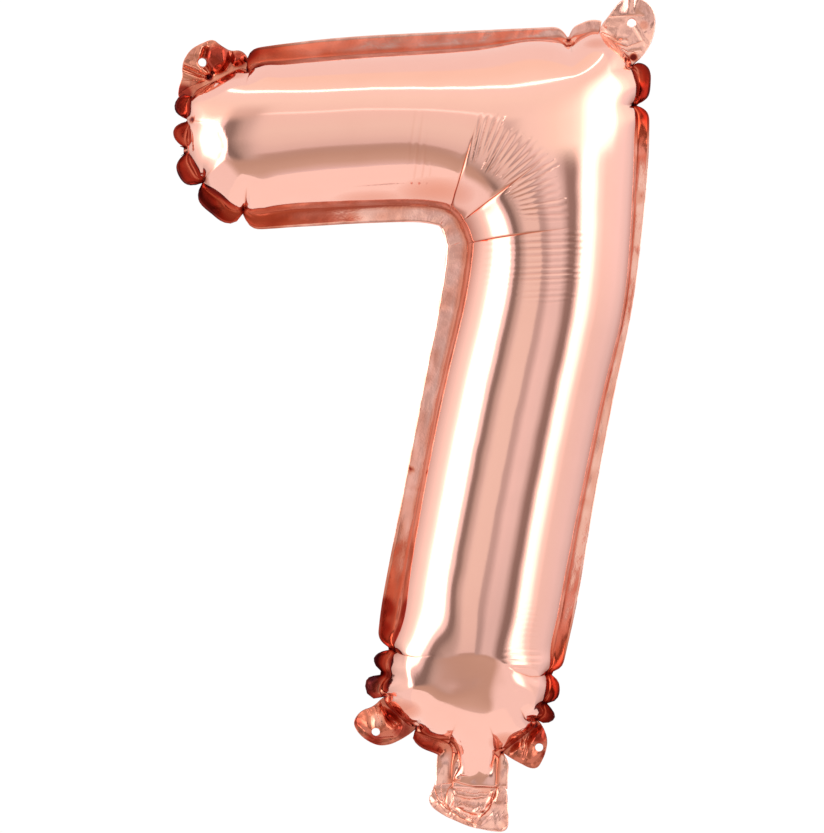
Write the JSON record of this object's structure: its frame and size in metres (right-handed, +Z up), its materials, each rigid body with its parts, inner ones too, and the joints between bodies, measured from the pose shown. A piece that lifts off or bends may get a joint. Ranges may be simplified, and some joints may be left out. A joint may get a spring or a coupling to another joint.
{
  "type": "foil number balloon",
  "caption": "Air-filled foil balloon in the shape of a digit seven, with a welded rim, hanging tabs with punched holes, and a folded neck with a flat self-sealing valve.",
  "frame": {"origin": "centre of the balloon's bounding box; the weld lies in the plane Y = 0", "axes": "+X to the right of the digit as it is read, +Y to the back, +Z up the digit"},
  "size_m": [0.2312, 0.0854, 0.4],
  "materials": {
    "foil": "rose gold metallised film, mirror gloss",
    "foil_tab": "rose gold metallised film, crumpled, punched",
    "foil_tail": "rose gold metallised film, crumpled",
    "valve_film": "clear polyethylene film"
  },
  "bodies": {
    "envelope": {"front_panel": "foil", "back_panel": "foil", "valve_front_film": "valve_film", "valve_back_film": "valve_film"},
    "tail": {"tail_front_ply": "foil_tail", "tail_back_ply": "foil_tail"},
    "tab_top_left": {"hang_tab_top_left": "foil_tab"},
    "tab_top_right": {"hang_tab_top_right": "foil_tab"},
    "tab_bottom_left": {"hang_tab_bottom_left": "foil_tab"},
    "tab_bottom_right": {"hang_tab_bottom_right": "foil_tab"}
  },
  "joints": [
    {"name": "fold_top_left", "type": "hinge", "parent": "envelope", "child": "tab_top_left", "pos_m": [-0.09457, 0, 0.16335], "axis": [0.891, 0, 0.4539], "range_deg": [-80, 80], "stiffness_Nm_per_rad": 0.0003},
    {"name": "fold_top_right", "type": "hinge", "parent": "envelope", "child": "tab_top_right", "pos_m": [0.09914, 0, 0.17839], "axis": [0.7719, 0, -0.6357], "range_deg": [-80, 80], "stiffness_Nm_per_rad": 0.0003},
    {"name": "fold_bottom_left", "type": "hinge", "parent": "envelope", "child": "tab_bottom_left", "pos_m": [-0.00873, 0, -0.14481], "axis": [-0.7295, 0, 0.6839], "range_deg": [-80, 80], "stiffness_Nm_per_rad": 0.0003},
    {"name": "fold_bottom_right", "type": "hinge", "parent": "envelope", "child": "tab_bottom_right", "pos_m": [0.0529, 0, -0.15593], "axis": [-0.7926, 0, -0.6097], "range_deg": [-80, 80], "stiffness_Nm_per_rad": 0.0003},
    {"name": "fold_tail", "type": "hinge", "parent": "envelope", "child": "tail", "pos_m": [0.029, 0, -0.1785], "axis": [-1, 0, 0], "range_deg": [-90, 90], "stiffness_Nm_per_rad": 0.0004}
  ]
}
